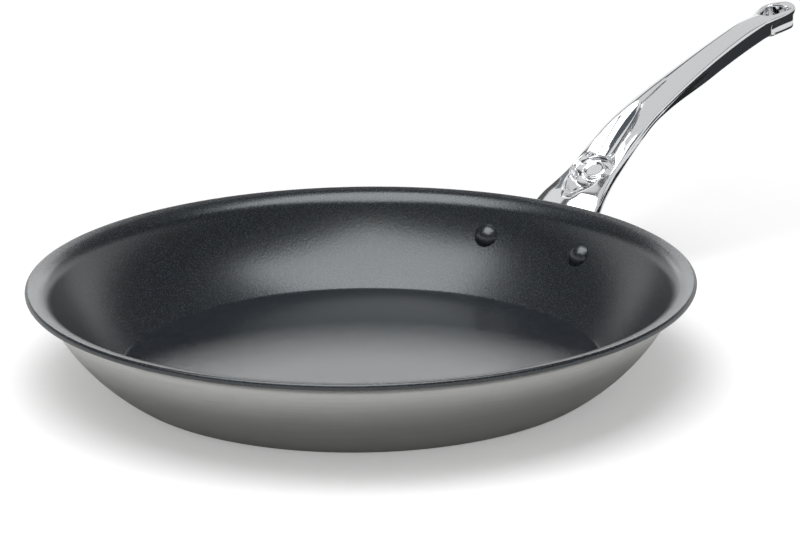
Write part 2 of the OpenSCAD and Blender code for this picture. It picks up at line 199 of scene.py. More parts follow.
# %% The lining and its caps over the rivet heads
RIVET_TURN, RIVET_UP = 12.0, 24.0
HEAD_D, HEAD_H, SHANK_D, BUTTON_D, BUTTON_H = 11.0, 2.6, 6.0, 10.0, 2.0
SHANK_GAP, SEAT_GAP, FLANGE_T = 0.05, 0.26, 3.6
rivet_lean = math.degrees(math.acos((wall_c[1] - RIVET_UP) / WALL_BOW_R))
head_seat = (HEAD_D + 2 * COAT_T) ** 2 / (8 * (WALL_BOW_R - SHEET_T - COAT_T)) + SHANK_GAP
head_plane = WALL_BOW_R - SHEET_T - COAT_T - head_seat
button_plane = WALL_BOW_R + SEAT_GAP + FLANGE_T


def at_rivet(points, side):
    """Turns points whose Z runs out along a rivet, counted from the wall's centre, into place."""
    lean = math.radians(180 - rivet_lean)
    x = wall_c[0] + points[..., 0] * math.cos(lean) + points[..., 2] * math.sin(lean)
    z = wall_c[1] - points[..., 0] * math.sin(lean) + points[..., 2] * math.cos(lean)
    y = points[..., 1]
    turn = math.radians(side * RIVET_TURN)
    return np.stack([
        x * math.cos(turn) - y * math.sin(turn),
        x * math.sin(turn) + y * math.cos(turn),
        z,
    ], axis=-1)


def dome(d, h, n=20):
    """Section of a cap of a sphere, d wide and h high, from its rim to its top."""
    ball = (d * d / 4 + h * h) / (2 * h)
    a = np.linspace(math.asin(min(1, d / 2 / ball)), 0, n)
    return np.stack([ball * np.sin(a), ball * np.cos(a) - ball + h], axis=-1)


wrap = 90 - LIP_RISE - COAT_WRAP
lining_line = np.concatenate([
    sheet_line(SHEET_T),
    end_arc(end_turn(SHEET_T), wrap, SHEET_T / 2, 16),
    end_arc(wrap, end_turn(SHEET_T), SHEET_T / 2 + COAT_T, 16),
    sheet_line(SHEET_T + COAT_T)[::-1],
])
lining_sheets = [revolve(lining_line)]
for side in (-1, 1):
    cap = np.concatenate([
        dome(HEAD_D + 2 * COAT_T, HEAD_H + COAT_T),
        [[0, HEAD_H]],
        dome(HEAD_D, HEAD_H)[::-1],
        dome(HEAD_D + 2 * COAT_T, HEAD_H + COAT_T)[:1],
    ])
    cap[:, 1] = head_plane - cap[:, 1]
    lining_sheets.append(at_rivet(revolve(cap, 72), side))
lining = make_piece("lining", lining_sheets, "nonstick_coating")

# %% [markdown]
# ## Rivets
#
# Each rivet has a domed head inside the pan, a shank through the sheet and the flange, and a
# button that was pressed flat against the flange to close it.

# %% The two rivets
for side, name in ((1, "left"), (-1, "right")):
    head = dome(HEAD_D, HEAD_H)[::-1] * [1, -1] + [0, head_plane]
    button = dome(BUTTON_D, BUTTON_H) + [0, button_plane]
    shank = np.array([[SHANK_D / 2, head_plane], [SHANK_D / 2, button_plane]])
    section = np.concatenate([head, shank, button])
    make_piece(f"rivet_{name}_turned", [at_rivet(revolve(section, 64), side)],
               f"rivet_{name}")

# %% [markdown]
# ## The handle's path and widths
#
# The handle is cast and then polished, so it has no flat faces and no hard corners. Its side
# edges follow a path in the middle plane: a straight neck, a bend, and two long bows. Four
# more functions of the distance s along that path give its half width, the crown of its top,
# the depth of its belly, and how far its flanks are drawn in.

# %% Path, widths, crown and depth
FLANGE_W, FLANGE_TOP, FLANGE_FOOT, FLANGE_DROOP = 37.0, 33.0, 12.0, 5.0
NECK_FOOT_UP, NECK_RISE, NECK_LEN, NECK_W, NECK_FLARE = 30.0, 28.7, 68.0, 11.2, 14.0
NECK_CROWN, NECK_DEPTH = 6.2, 14.0
BEND_R, BEND_TURN, BOW_R, BOW_TURN, TAIL_R, TAIL_LEN = 147.0, 11.2, 567.0, 2.0, 944.0, 112.0
GRIP_W, WAIST_W, GRIP_CROWN, GRIP_DEPTH, BEND_DEPTH = 9.7, 5.8, 4.7, 10.3, 6.4
LOOP_W, LOOP_END, LOOP_SWELL, LOOP_CROWN, FLANK_DRAW = 9.0, 10.5, 20.0, 0.6, 0.16
BLEND_END, FLARE_LEN, NECK_TAPER = 28.0, 50.0, 2.4
CROWN_FROM, CROWN_RISE = 34.0, 30.0
FOOT_CROWN, FOOT_FLAT, FOOT_FALL = 2.0, 10, 26
CROWN_FOOT, CROWN_TIP, DEPTH_TIP = 0.3, 0.4, 0.6
THIN_LEN, DEEPEN_LEN = 20.0, 60.0

neck_foot = np.array([
    wall_c[0] + math.sqrt(WALL_BOW_R ** 2 - (wall_c[1] - NECK_FOOT_UP) ** 2), NECK_FOOT_UP])


def bow(r, slope, s):
    """A step s along an arc of radius r that starts at slope and turns downwards."""
    turned = np.degrees(s / r)
    return r * np.stack([
        np.sin(np.radians(slope)) - np.sin(np.radians(slope - turned)),
        np.cos(np.radians(slope - turned)) - np.cos(np.radians(slope)),
    ], axis=-1)


bend_len = BEND_R * math.radians(BEND_TURN)
bow_len = BOW_R * math.radians(BOW_TURN)
bow_at = NECK_LEN + bend_len
tail_at = bow_at + bow_len
thin_at = NECK_LEN + THIN_LEN
handle_len = tail_at + TAIL_LEN
loop_at = handle_len - LOOP_END
swell_at = loop_at - LOOP_SWELL
bow_slope = NECK_RISE - BEND_TURN
tail_slope = bow_slope - BOW_TURN
bend_foot = neck_foot + NECK_LEN * along(NECK_RISE)
bow_foot = bend_foot + bow(BEND_R, NECK_RISE, np.array(bend_len))
tail_foot = bow_foot + bow(BOW_R, bow_slope, np.array(bow_len))


def path_at(s):
    """Place on the path at distance s, as (along X, along Z)."""
    s = np.asarray(s, dtype=float)
    inside = [s < NECK_LEN, s < bow_at, s < tail_at]
    choices = [
        neck_foot + s[..., None] * along(NECK_RISE),
        bend_foot + bow(BEND_R, NECK_RISE, s - NECK_LEN),
        bow_foot + bow(BOW_R, bow_slope, s - bow_at),
    ]
    return np.select([c[..., None] for c in inside], choices,
                     tail_foot + bow(TAIL_R, tail_slope, s - tail_at))


def slope_at(s):
    """Slope of the path at distance s."""
    return np.select(
        [s < NECK_LEN, s < bow_at, s < tail_at],
        [NECK_RISE + 0 * s, NECK_RISE - np.degrees((s - NECK_LEN) / BEND_R),
         bow_slope - np.degrees((s - bow_at) / BOW_R)],
        tail_slope - np.degrees((s - tail_at) / TAIL_R))


def loop_round(s):
    """1 along the handle, then a quarter ellipse down to 0 at the loop's tip."""
    return np.sqrt(np.clip(1 - np.clip((s - loop_at) / LOOP_END, 0, None) ** 2, 0, 1))


def half_width(s):
    """Half the width at s: flared neck, grip narrowing to a waist, and the loop."""
    flare = NECK_FLARE * np.clip(1 - s / FLARE_LEN, 0, None) ** 2
    return np.select(
        [s < NECK_LEN, s < bow_at, s < swell_at],
        [mix(NECK_W + NECK_TAPER, NECK_W, s / NECK_LEN) + flare,
         mix(NECK_W, GRIP_W, ease((s - NECK_LEN) / bend_len)),
         mix(GRIP_W, WAIST_W, np.sin(np.pi / 2 * (s - bow_at) / (swell_at - bow_at)))],
        mix(WAIST_W, LOOP_W, ease((s - swell_at) / LOOP_SWELL)) * loop_round(s))


def crown(s):
    """Height of the top's middle above its side edges at s."""
    return np.where(
        s < tail_at,
        mix(NECK_CROWN, GRIP_CROWN, ease((s - NECK_LEN / 2) / NECK_LEN))
        * mix(CROWN_FOOT, 1, ease((s - CROWN_FROM) / CROWN_RISE))
        + FOOT_CROWN * (1 - ease((s - FOOT_FLAT) / FOOT_FALL)),
        mix(GRIP_CROWN, LOOP_CROWN, ease((s - swell_at + LOOP_SWELL) / (2 * LOOP_SWELL)))
        * mix(CROWN_TIP, 1, loop_round(s)))


def depth(s):
    """Depth of the belly below the side edges at s: least inside the bend."""
    return np.where(
        s < thin_at,
        mix(NECK_DEPTH, BEND_DEPTH, ease(s / thin_at)),
        mix(BEND_DEPTH, GRIP_DEPTH, ease((s - thin_at) / DEEPEN_LEN))
        * mix(DEPTH_TIP, 1, loop_round(s)))


def draw_in(s):
    """Share of the half width by which the flanks are drawn in at s."""
    return FLANK_DRAW * ease((s - thin_at) / DEEPEN_LEN)


print(f"handle: {handle_len:.1f} mm along its path, loop from {loop_at:.1f} mm")

# %% [markdown]
# ## Hollow, boss and hanging hole
#
# A pointed hollow runs up the neck. It keeps the neck stiff and lets it cool. Near the pan it
# holds a round seat with a plain round boss, tied to the hollow's walls by an arm on either
# side, and the ridges beside the hollow dip there. The hanging hole near the tip has three
# rounded corners. The hollow, the seat and the boss are written as heights over the plan of
# the handle, so the top stays one surface.

# %% Height of the top, and the outline of the hole
HOLLOW_START, HOLLOW_END, HOLLOW_W, HOLLOW_DEPTH = 23.5, 96.0, 7.4, 3.0
HOLLOW_OPEN, HOLLOW_SINK, ARCH_POWER, DISH_POWER, RIDGE_SOFT = 14.0, 12.0, 3.5, 2.4, 1.4
GROOVE_END, GROOVE_W, GROOVE_DEPTH, GROOVE_FADE = 120.0, 3.0, 1.2, 3
BOSS_AT, BOSS_UP, BOSS_D, BOSS_RING, BOSS_H, BOSS_GAP = 46.6, -1.2, 11.6, 1.6, 2.3, 3.3
COLLAR_W, ARM_W, ARM_STEP, STEP_RUN = 1.3, 5.0, 0.4, 1.0
DIP, DIP_RUN, DIP_SOFT = 0.8, 17.0, 0.5
HOLE_CORNER, HOLE_NOSE, HOLE_LEN, HOLE_W, HOLE_RIM = 2.2, 3.6, 17.5, 13.0, 7.5


def left_of(end, s):
    """Share of the way from the boss to an end that is still ahead at s."""
    return np.clip((end - s) / (end - BOSS_AT), 0, 1)


def hollow_half(s):
    """Half the hollow's width at s: a pointed arch in plan that leads on into a groove."""
    arch = (HOLLOW_W * np.sqrt(ease((s - HOLLOW_START) / HOLLOW_OPEN))
            * (1 - (1 - left_of(HOLLOW_END, s)) ** ARCH_POWER))
    return np.maximum(GROOVE_W * left_of(GROOVE_END, s), arch)


def hollow_deep(s):
    """The hollow's depth below the crown at s: its floor lies below the side edges."""
    floor = (crown(s) + HOLLOW_DEPTH) * np.sin(np.pi / 2 * left_of(HOLLOW_END, s))
    groove = GROOVE_DEPTH * ease(left_of(GROOVE_END, s) * GROOVE_FADE)
    return np.sqrt(ease((s - HOLLOW_START) / HOLLOW_SINK)) * np.maximum(groove, floor)


seat_floor = BOSS_UP - BOSS_H
seat_r = BOSS_D / 2 + BOSS_GAP
collar_r = seat_r + COLLAR_W


def inside(gap):
    """1 where the gap to an edge is positive and 0 beyond it, with a rounded step between."""
    return ease(gap / STEP_RUN + 0.5)


def with_boss(s, y, up):
    """Lets the ridges dip beside the boss, then adds seat, collar, boss and arms."""
    r = np.hypot(s - BOSS_AT, y)
    dip = DIP * (1 - ease(np.abs(s - BOSS_AT) / DIP_RUN))
    up = up - dip * positive(up, DIP_SOFT)
    low = BOSS_H - ARM_STEP
    collar = low * inside(r - seat_r)
    arm = low * inside(ARM_W / 2 - np.abs(s - BOSS_AT))
    boss = BOSS_H * inside(BOSS_D / 2 - r) - ARM_STEP * inside(BOSS_D / 2 - BOSS_RING - r)
    seat = seat_floor + np.maximum(np.maximum(collar, arm), boss)
    return mix(up, seat, inside(collar_r - r))


hole_far = loop_at + LOOP_END - HOLE_RIM
hole_near = hole_far - HOLE_LEN
corner_far, nose_at = hole_far - HOLE_CORNER, hole_near + HOLE_NOSE
spread = HOLE_W / 2 - HOLE_CORNER
side_lean = (math.atan2(spread, corner_far - nose_at)
             + math.asin((HOLE_CORNER - HOLE_NOSE) / math.hypot(corner_far - nose_at, spread)))
side_from = nose_at - HOLE_NOSE * math.sin(side_lean)
side_to = corner_far - HOLE_CORNER * math.sin(side_lean)


def hole_half(s):
    """Half the hole's width at s: the nose's arc, a straight side, and the corner's arc."""
    near = np.sqrt(np.clip(HOLE_NOSE ** 2 - (s - nose_at) ** 2, 0, None))
    straight = HOLE_NOSE * math.cos(side_lean) + (s - side_from) * math.tan(side_lean)
    far = spread + np.sqrt(np.clip(HOLE_CORNER ** 2 - (s - corner_far) ** 2, 0, None))
    return np.where((s < hole_near) | (s > hole_far), 0,
                    np.where(s < side_from, near, np.where(s < side_to, straight, far)))


print(f"hollow: {hollow_half(np.array(BOSS_AT)) * 2:.1f} mm wide at the boss; "
      f"hole from {hole_near:.1f} to {hole_far:.1f} mm")

# %% [markdown]
# ## The casting as one surface
#
# The handle mirrors itself in its middle plane, so only the right half is worked out. Each row
# of points runs from the middle of the top, over the side edge, down the flank and round to
# the middle of the belly. Rows that follow the pan's wall make the flange, rows square to the
# path make the neck and grip, and shares of both make the blend. Where the hole is, rows start
# at its edge instead of the middle, and a wall joins its upper and lower rims.

# %% Rows of the right half
HOLLOW_COLS, RIM_COLS, BELLY_COLS = 44, 24, 30
BELLY_POWER, HOLLOW_MIN, HOLLOW_MAX = 3, 0.16, 0.8
RIM_CROWDING, BELLY_CROWDING, RIDGE_FADE = 1.5, 1.8, 1.5
EDGE_R, HOLE_R = 0.9, 1.3


def drop(d, r):
    """How far a fillet of radius r lies below a corner at distance d from its edge."""
    d = np.clip(d, 0, r)
    return r - np.sqrt(np.clip(r * r - (r - d) ** 2, 0, None))


def away_from(line_s, line_y, s, y):
    """Distance in plan from every point (s, y) to the nearest point of a line."""
    near = np.full(np.broadcast(s, y).shape, np.inf)
    for part in np.array_split(np.arange(len(line_s)), 12):
        d = np.hypot(s[..., None] - line_s[part], y[..., None] - line_y[part])
        near = np.minimum(near, d.min(axis=-1))
    return near


def half_rows(w, c, d, q, hw, hd):
    """Rows of the top and the belly, across in shares of w, and the draw of the flanks.

    The top is a parabola, c(1 - v^2), less the hollow's dish, hd(1 - (v / h)^2.4), as far as
    that is above 0. The belly is a superellipse, d deep. The draw is most about half-way down.
    """
    w, c, d, q, hw, hd = (np.asarray(v, dtype=float).reshape(-1, 1) for v in (w, c, d, q, hw, hd))
    h = np.clip(hw / np.maximum(w, 1e-6), HOLLOW_MIN, HOLLOW_MAX)
    t = np.linspace(0, 1, HOLLOW_COLS + 1)
    rim = 1 - (1 - h) * np.linspace(1, 0, RIM_COLS + 1)[1:] ** RIM_CROWDING
    v = np.concatenate([h * t, rim], axis=1)
    dish = hd * (1 - (v / h) ** DISH_POWER)
    soft = RIDGE_SOFT * hd / (hd + RIDGE_FADE)
    up = c * (1 - v ** 2) - positive(dish, soft)
    a = np.pi / 2 * np.linspace(0, 1, BELLY_COLS + 1)[1:] ** BELLY_CROWDING
    rise = np.sin(a) ** (2 / BELLY_POWER)
    under = np.clip(np.cos(a), 0, None) ** (2 / BELLY_POWER) + 0 * w
    return v, up, under, -d * rise, q * under * np.sin(np.pi * rise) ** 2


def wall_rows(out, w, top, foot, droop):
    """Rows that follow the pan's outer wall at a distance out from it."""
    out, w, top, foot, droop = np.broadcast_arrays(*(
        np.asarray(v, dtype=float).reshape(-1, 1) for v in (out, w, top, foot, droop)))
    v, up, under, low, _ = half_rows(w, droop, top - droop - foot, 0, 0, 0)
    y = w * np.concatenate([v, under], axis=1)
    z = top - droop + np.concatenate([up, low], axis=1)
    r = wall_c[0] + np.sqrt((WALL_BOW_R + out) ** 2 - (wall_c[1] - z) ** 2)
    return np.stack([np.sqrt(r * r - y * y), y, z], axis=-1)


# Close points on the loop's outline and on the hole's rim, for the distance to each of them.
outline_s = np.concatenate([np.linspace(swell_at - 5, loop_at, 900),
                            loop_at + LOOP_END * np.sin(np.linspace(0, np.pi / 2, 700))])
rim_s = np.concatenate([nose_at + HOLE_NOSE * np.cos(np.linspace(np.pi, np.pi / 2, 250)),
                        np.linspace(nose_at, corner_far, 450),
                        corner_far + HOLE_CORNER * np.sin(np.linspace(0, np.pi / 2, 200))])
rim_flat = np.linspace(0, spread, 200)


def path_rows(s):
    """Rows square to the path, with the hollow, the seat, the boss and both fillets."""
    w = half_width(s)[:, None]
    v, up, under, low, draw = half_rows(w, crown(s), depth(s), draw_in(s), hollow_half(s),
                                        hollow_deep(s))
    hole = hole_half(s)[:, None]
    y, y_low = hole + (w - hole) * v, hole + (w - hole) * under - w * draw
    in_loop = s > swell_at
    up = np.where(in_loop[:, None],
                  crown(s)[:, None] * (1 - (y / np.maximum(w, 1e-6)) ** 2), up)
    s_top, s_low = s[:, None] + 0 * y, s[:, None] + 0 * y_low
    up = with_boss(s_top, y, up)
    edge = w - y
    edge[in_loop] = away_from(outline_s, half_width(outline_s), s_top[in_loop], y[in_loop])
    up = up - drop(edge, EDGE_R)
    low = low * (1 - EDGE_R / depth(s)[:, None]) - EDGE_R
    near_s = np.concatenate([rim_s, np.full(len(rim_flat), hole_far)])
    near_y = np.concatenate([hole_half(rim_s), rim_flat])
    around = away_from(near_s, near_y, s_top[in_loop], y[in_loop])
    up[in_loop] -= drop(around, HOLE_R)
    around = away_from(near_s, near_y, s_low[in_loop], y_low[in_loop])
    low[in_loop] += drop(around, EDGE_R)
    across = np.concatenate([y, y_low], axis=1)
    up = np.concatenate([up, low], axis=1)
    at, a = path_at(s), np.radians(slope_at(s))[:, None]
    return np.stack([at[:, :1] - up * np.sin(a), across, at[:, 1:] + up * np.cos(a)], axis=-1)


# %% [markdown]
# The rows come in five groups, from the flange's side against the wall to the loop's tip. The
# web is the flange's rounded rise towards the neck, and the blend takes shares of the web and
# of the neck. Rows lie closer together at the boss and at the hole. In the end a few passes of
# averaging melt the small steps between the groups, as polishing does.

# %% The casting from flange to tip
SEAT_ROWS, EDGE_ROWS, FACE_ROWS, BLEND_ROWS = 20, 9, 12, 55
WEB_INSET, WEB_OUT, WEB_FOOT, WEB_DROP = 14.0, 14.0, 2.0, 6.0
BOSS_MARGIN, GROOVE_MARGIN, TIP_FROM = 1, 4, 0.45
ACROSS_PASSES, ALONG_PASSES, PAST_BLEND = 4, 8, 6

f = np.linspace(0, 1, SEAT_ROWS)
mid = (FLANGE_TOP + FLANGE_FOOT) / 2
seat_rows = wall_rows(SEAT_GAP, FLANGE_W * f, mix(mid, FLANGE_TOP, f), mix(mid, FLANGE_FOOT, f),
                      FLANGE_DROOP * f)
turn = np.radians(np.linspace(0, 90, EDGE_ROWS))
edge_rows = wall_rows(SEAT_GAP + FLANGE_T - 1 + np.sin(turn), FLANGE_W - 1 + np.cos(turn),
                      FLANGE_TOP, FLANGE_FOOT + 1 - np.cos(turn), FLANGE_DROOP)
k = np.linspace(0, 1, FACE_ROWS + 2)[1:-1]
face_rows = wall_rows(SEAT_GAP + FLANGE_T, mix(FLANGE_W - 1, FLANGE_W - WEB_INSET, k),
                      FLANGE_TOP, mix(FLANGE_FOOT + 1, FLANGE_FOOT + WEB_FOOT, k), FLANGE_DROOP)
t = np.linspace(0, 1, BLEND_ROWS + 1)[:-1]
web = wall_rows(SEAT_GAP + FLANGE_T + WEB_OUT * t * t,
                mix(FLANGE_W - WEB_INSET, float(half_width(np.array(BLEND_END))),
                    np.sin(np.pi / 2 * t)),
                FLANGE_TOP, mix(FLANGE_FOOT + WEB_FOOT, FLANGE_TOP - NECK_DEPTH - WEB_DROP, t),
                FLANGE_DROOP)
blend_rows = mix(web, path_rows(BLEND_END * t), ease(t)[:, None, None])
boss_from, boss_to = BOSS_AT - collar_r - BOSS_MARGIN, BOSS_AT + collar_r + BOSS_MARGIN
groove_to = GROOVE_END + GROOVE_MARGIN
stations = np.concatenate([
    np.linspace(BLEND_END, boss_from, 16),
    np.linspace(boss_from, boss_to, 124),
    np.linspace(boss_to, groove_to, 76),
    np.linspace(groove_to, swell_at, 28),
    np.linspace(swell_at, hole_near - HOLE_R, 12),
    np.linspace(hole_near - HOLE_R, hole_near, 8),
    nose_at + HOLE_NOSE * np.cos(np.linspace(np.pi, np.pi / 2 + side_lean, 16)),
    np.linspace(side_from, side_to, 20),
    corner_far + HOLE_CORNER * np.sin(np.linspace(-side_lean, np.pi / 2, 16)),
    np.linspace(hole_far, hole_far + HOLE_R, 8),
    loop_at + LOOP_END * np.sin(np.linspace(TIP_FROM, np.pi / 2, 24)),
])
stations = np.unique(np.round(stations, 3))
near_far = [np.argmin(np.abs(stations - v)) for v in (hole_near, hole_far)]
stations[near_far] = hole_near, hole_far
neck_rows = path_rows(stations)
half = np.concatenate([seat_rows, edge_rows, face_rows, blend_rows, neck_rows])


def soften(rows, passes):
    """Every row but the outer two becomes a quarter, a half and a quarter of three rows."""
    for _ in range(passes):
        rows[1:-1] = 0.25 * rows[:-2] + 0.5 * rows[1:-1] + 0.25 * rows[2:]


start = len(half) - len(stations)
soften(half.swapaxes(0, 1), ACROSS_PASSES)
soften(half[SEAT_ROWS + EDGE_ROWS - 1:start + PAST_BLEND + 1], ALONG_PASSES)
closed = hole_half(np.concatenate([np.zeros(start), stations])) <= 0
half[closed, 0, 1] = half[closed, -1, 1] = 0
rim_rows = half[start + near_far[0]:start + near_far[1] + 1]
share = np.linspace(0, 1, 12)[None, :, None]
hole_wall = mix(rim_rows[:, :1], rim_rows[:, -1:], share)
MIRROR = np.array([1, -1, 1])
cast_handle = make_piece("cast_handle", [half, half * MIRROR, hole_wall, hole_wall * MIRROR],
                         "handle", crisp=50)

# %% [markdown]
# ## Finishes
#
# One function turns a written colour into the linear values that Blender mixes with. One
# function adds a node and joins what feeds it. Every finish is procedural and reads object
# coordinates, which here are metres on the real pan.

# %% Helpers for materials
def linear(code):
    """sRGB hex to linear colour: c/12.92 below 0.04045, else ((c+0.055)/1.055)^2.4."""
    c = np.array([int(code[i:i + 2], 16) for i in (1, 3, 5)]) / 255
    return (*np.where(c <= 0.04045, c / 12.92, ((c + 0.055) / 1.055) ** 2.4).tolist(), 1)


def add(mat, kind, inputs=None, **settings):
    """Adds a node to a material or world, sets its options, and sets or links its inputs."""
    node = mat.node_tree.nodes.new(kind)
    for name, value in settings.items():
        setattr(node, name, value)
    for key, value in (inputs or {}).items():
        if isinstance(value, bpy.types.NodeSocket):
            mat.node_tree.links.new(value, node.inputs[key])
        else:
            node.inputs[key].default_value = value
    return node


def new_material(name):
    """An empty node material."""
    mat = bpy.data.materials.new(name)
    mat.use_nodes = True
    mat.node_tree.nodes.clear()
    print("material:", name)
    return mat


def close(mat, shader):
    """Joins the last shader to the material's output."""
    add(mat, "ShaderNodeOutputMaterial", {"Surface": shader.outputs[0]})
    return mat


def ramp(mat, factor, stops):
    """A colour ramp through (place, hex colour) stops."""
    node = add(mat, "ShaderNodeValToRGB", {0: factor})
    line = node.color_ramp.elements
    while len(line) < len(stops):
        line.new(0.5)
    for mark, (place, code) in zip(line, stops):
        mark.position = place
        mark.color = linear(code)
    return node.outputs["Color"]


def span(mat, value, low, high, a, b):
    """Maps value from low..high to a..b and stops at both ends."""
    return add(mat, "ShaderNodeMapRange",
               {0: value, 1: low, 2: high, 3: a, 4: b}).outputs[0]


# %% [markdown]
# ### Brushed stainless steel
#
# The outer skin is ferritic stainless, brushed while the pan turns on a lathe, so its scratches
# run round it. Grit of that kind leaves lines a few hundredths of a millimetre wide. They are
# too fine to show, so they are drawn about 0.4 mm wide. The grain is noise on a point whose
# direction round the axis counts little and whose place along the section counts much. It
# sways the roughness and the height, and the shine is stretched across the grain.

# %% Brushed stainless steel
def round_grain(mat, lines_per_metre, around):
    """(cos, sin, section) coordinates: slow round the Z axis and fast along the section."""
    place = add(mat, "ShaderNodeTexCoord").outputs["Object"]
    xyz = add(mat, "ShaderNodeSeparateXYZ", {0: place})
    flat = add(mat, "ShaderNodeVectorMath", {0: place, 1: (1, 1, 0)}, operation="MULTIPLY")
    unit = add(mat, "ShaderNodeVectorMath", {0: flat.outputs[0]}, operation="NORMALIZE")
    radius = add(mat, "ShaderNodeVectorMath", {0: flat.outputs[0]}, operation="LENGTH")
    slow = add(mat, "ShaderNodeVectorMath", {0: unit.outputs[0], 3: around}, operation="SCALE")
    section = add(mat, "ShaderNodeMath", {0: radius.outputs["Value"], 1: xyz.outputs["Z"]},
                  operation="ADD")
    fast = add(mat, "ShaderNodeMath", {0: section.outputs[0], 1: lines_per_metre},
               operation="MULTIPLY")
    parts = add(mat, "ShaderNodeSeparateXYZ", {0: slow.outputs[0]})
    return add(mat, "ShaderNodeCombineXYZ",
               {0: parts.outputs[0], 1: parts.outputs[1], 2: fast.outputs[0]}).outputs[0]


brushed = new_material("brushed_stainless")
grain_at = round_grain(brushed, 2500, 3)
grain = add(brushed, "ShaderNodeTexNoise",
            {"Vector": grain_at, "Scale": 1, "Detail": 3, "Roughness": 0.6}).outputs["Fac"]
brushed_bump = add(brushed, "ShaderNodeBump", {"Height": grain, "Strength": 0.12,
                                               "Distance": 0.0002})
around_z = add(brushed, "ShaderNodeTangent", direction_type="RADIAL", axis="Z")
brushed_shader = add(brushed, "ShaderNodeBsdfPrincipled", {
    "Base Color": ramp(brushed, grain, [(0.2, "#C0C0BE"), (0.8, "#D5D5D3")]),
    "Metallic": 1, "Roughness": span(brushed, grain, 0.2, 0.8, 0.26, 0.38),
    "Anisotropic": 0.6, "Tangent": around_z.outputs[0], "Normal": brushed_bump.outputs[0],
})
close(brushed, brushed_shader)

# %% [markdown]
# ### Charcoal non-stick coating
#
# A sprayed and baked fluoropolymer with a charcoal pigment and flakes of mica. The polymer is
# smooth at the scale of the hand but dull, so it mirrors only at a low angle. The flakes are
# about 0.1 mm across and lie at slightly different angles, so a few of them flash. They are
# drawn as cells of about 0.3 mm, a little under one pixel of the picture, and the lighter cells
# are the ones that flash. The index of refraction is set above a polymer's own, to come as
# bright as the wall in the photograph.

# %% Charcoal non-stick coating
coating = new_material("charcoal_nonstick")
place = add(coating, "ShaderNodeTexCoord").outputs["Object"]
flakes = add(coating, "ShaderNodeTexVoronoi", {"Vector": place, "Scale": 3200})
flash = add(coating, "ShaderNodeSeparateColor", {0: flakes.outputs["Color"]})
spark = span(coating, flash.outputs[0], 0.55, 1.0, 0, 1)
cloud = add(coating, "ShaderNodeTexNoise", {"Vector": place, "Scale": 900, "Detail": 2})
tint = ramp(coating, spark, [(0.0, "#0F1114"), (1.0, "#3A4048")])
coat_bump = add(coating, "ShaderNodeBump",
                {"Height": cloud.outputs["Fac"], "Strength": 0.3, "Distance": 0.0002})
coat_shader = add(coating, "ShaderNodeBsdfPrincipled", {
    "Base Color": tint, "Roughness": 0.27, "IOR": 1.75,
    "Specular Tint": linear("#EFF5F8"),
    "Normal": coat_bump.outputs[0],
})
close(coating, coat_shader)

# %% [markdown]
# ### Polished cast steel
#
# The handle is cast stainless, polished on soft wheels until it mirrors. Wheels leave the
# surface very slightly wavy, which gives the reflections their soft, drawn edges.

# %% Polished cast steel
polished = new_material("polished_cast_steel")
place = add(polished, "ShaderNodeTexCoord").outputs["Object"]
wave = add(polished, "ShaderNodeTexNoise", {"Vector": place, "Scale": 60, "Detail": 1})
haze = add(polished, "ShaderNodeTexNoise", {"Vector": place, "Scale": 900, "Detail": 2})
polish_bump = add(polished, "ShaderNodeBump",
                  {"Height": wave.outputs["Fac"], "Strength": 0.012, "Distance": 0.002})
polished_shader = add(polished, "ShaderNodeBsdfPrincipled", {
    "Base Color": ramp(polished, haze.outputs["Fac"], [(0.3, "#D6D7D9"), (0.7, "#D9DADC")]),
    "Metallic": 1, "Roughness": span(polished, haze.outputs["Fac"], 0.3, 0.7, 0.07, 0.11),
    "Normal": polish_bump.outputs[0],
})
close(polished, polished_shader)

# %% [markdown]
# ### Aluminium and inner steel
#
# The bonded plies are hidden between the skins. They still get the finish of rolled metal.

# %% Rolled plies
def rolled(name, dark, light, roughness):
    """Rolled sheet: noise stretched along X sways a plain metal's colour."""
    mat = new_material(name)
    where = add(mat, "ShaderNodeTexCoord").outputs["Object"]
    long = add(mat, "ShaderNodeMapping", {"Vector": where, "Scale": (40, 1500, 1500)})
    streak = add(mat, "ShaderNodeTexNoise", {"Vector": long.outputs[0], "Scale": 1})
    shader = add(mat, "ShaderNodeBsdfPrincipled", {
        "Base Color": ramp(mat, streak.outputs["Fac"], [(0.3, dark), (0.7, light)]),
        "Metallic": 1, "Roughness": roughness})
    return close(mat, shader)


pure_aluminium = rolled("rolled_aluminium", "#DADCDE", "#E6E8EA", 0.35)
alloy = rolled("rolled_alloy", "#CDCFD2", "#D9DBDE", 0.4)
inner_steel = rolled("rolled_inner_steel", "#BDBDBB", "#CBCBC9", 0.3)


def dress(obj, mat):
    """Gives an object one material and no other."""
    obj.data.materials.clear()
    obj.data.materials.append(mat)


dress(outer_skin, brushed)
dress(lining, coating)
for name in ("cast_handle", "rivet_left_turned", "rivet_right_turned"):
    dress(bpy.data.objects[name], polished)
for node, mat in {"outer_aluminium_ply": pure_aluminium, "inner_aluminium_ply": pure_aluminium,
                  "alloy_core_ply": alloy, "inner_steel_ply": inner_steel}.items():
    dress(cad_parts[node], mat)

# %% [markdown]
# ## Floor
#
# A sheet of white paper. Near the pan it is a matte surface that keeps the shadow, a little
# lifted for the camera. Further out it turns into plain white of strength 1 for the camera and
# for reflections, so the picture's background is white and metal shows the same white.

# %% Floor
def level(x0, x1, y0, y1, z):
    """The four corners of a level rectangle, in metres."""
    return [(x0, y0, z), (x1, y0, z), (x1, y1, z), (x0, y1, z)]


def stage_card(name, corners, mat):
    """One flat face of the surroundings, not of the part."""
    mesh = bpy.data.meshes.new(name)
    mesh.from_pydata(corners, [], [(0, 1, 2, 3)])
    card = bpy.data.objects.new(name, mesh)
    bpy.context.scene.collection.objects.link(card)
    dress(card, mat)
    return card


